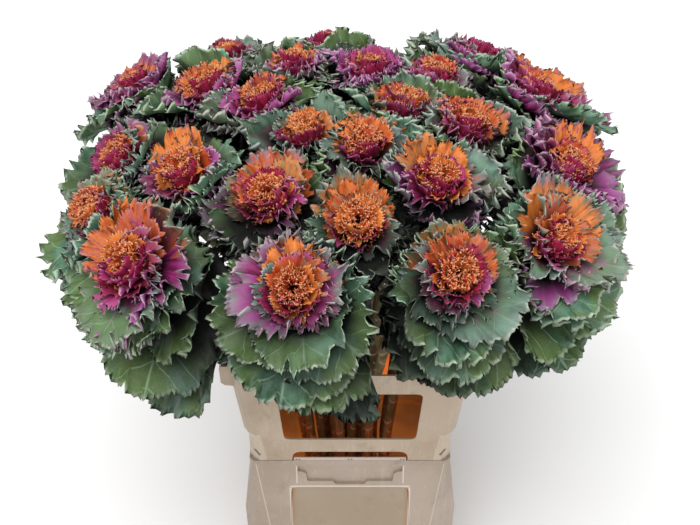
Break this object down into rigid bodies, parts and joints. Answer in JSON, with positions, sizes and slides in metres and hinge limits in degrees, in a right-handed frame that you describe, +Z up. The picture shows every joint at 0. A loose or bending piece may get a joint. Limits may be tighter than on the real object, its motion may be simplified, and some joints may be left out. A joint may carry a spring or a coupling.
{
  "type": "ornamental kale, cut stems in a flower container",
  "caption": "Cut ornamental kale with ruffled orange hearts and frilled leaves, fanned out of a rectangular plastic flower container with a windowed collar.",
  "frame": {"origin": "middle of the container's underside, on the surface it stands on", "axes": "+Z up, X along the container's short side, Y along its long side, with a short side towards -Y"},
  "size_m": [0.7814, 0.7505, 0.7758],
  "materials": {
    "container_plastic": "scuffed cream polypropylene",
    "collar_plastic": "scuffed cream polypropylene, a little warmer",
    "water": "still water",
    "leaf": "matt, waxy blue-green leaf with pale veins and purple base",
    "heart": "matt ruffled leaf, sprayed orange, magenta below"
  },
  "bodies": {
    "root": {"container": "container_plastic", "collar": "collar_plastic", "water": "water", "kale_01_leaves": "leaf", "kale_01_heart": "heart", "kale_02_leaves": "leaf", "kale_02_heart": "heart", "kale_03_leaves": "leaf", "kale_03_heart": "heart", "kale_04_leaves": "leaf", "kale_04_heart": "heart", "kale_05_leaves": "leaf", "kale_05_heart": "heart", "kale_06_leaves": "leaf", "kale_06_heart": "heart", "kale_07_leaves": "leaf", "kale_07_heart": "heart", "kale_08_leaves": "leaf", "kale_08_heart": "heart", "kale_09_leaves": "leaf", "kale_09_heart": "heart", "kale_10_leaves": "leaf", "kale_10_heart": "heart", "kale_11_leaves": "leaf", "kale_11_heart": "heart", "kale_12_leaves": "leaf", "kale_12_heart": "heart", "kale_13_leaves": "leaf", "kale_13_heart": "heart", "kale_14_leaves": "leaf", "kale_14_heart": "heart", "kale_15_leaves": "leaf", "kale_15_heart": "heart", "kale_16_leaves": "leaf", "kale_16_heart": "heart", "kale_17_leaves": "leaf", "kale_17_heart": "heart", "kale_18_leaves": "leaf", "kale_18_heart": "heart", "kale_19_leaves": "leaf", "kale_19_heart": "heart", "kale_20_leaves": "leaf", "kale_20_heart": "heart", "kale_21_leaves": "leaf", "kale_21_heart": "heart", "kale_22_leaves": "leaf", "kale_22_heart": "heart", "kale_23_leaves": "leaf", "kale_23_heart": "heart", "kale_24_leaves": "leaf", "kale_24_heart": "heart", "kale_25_leaves": "leaf", "kale_25_heart": "heart"}
  },
  "joints": []
}
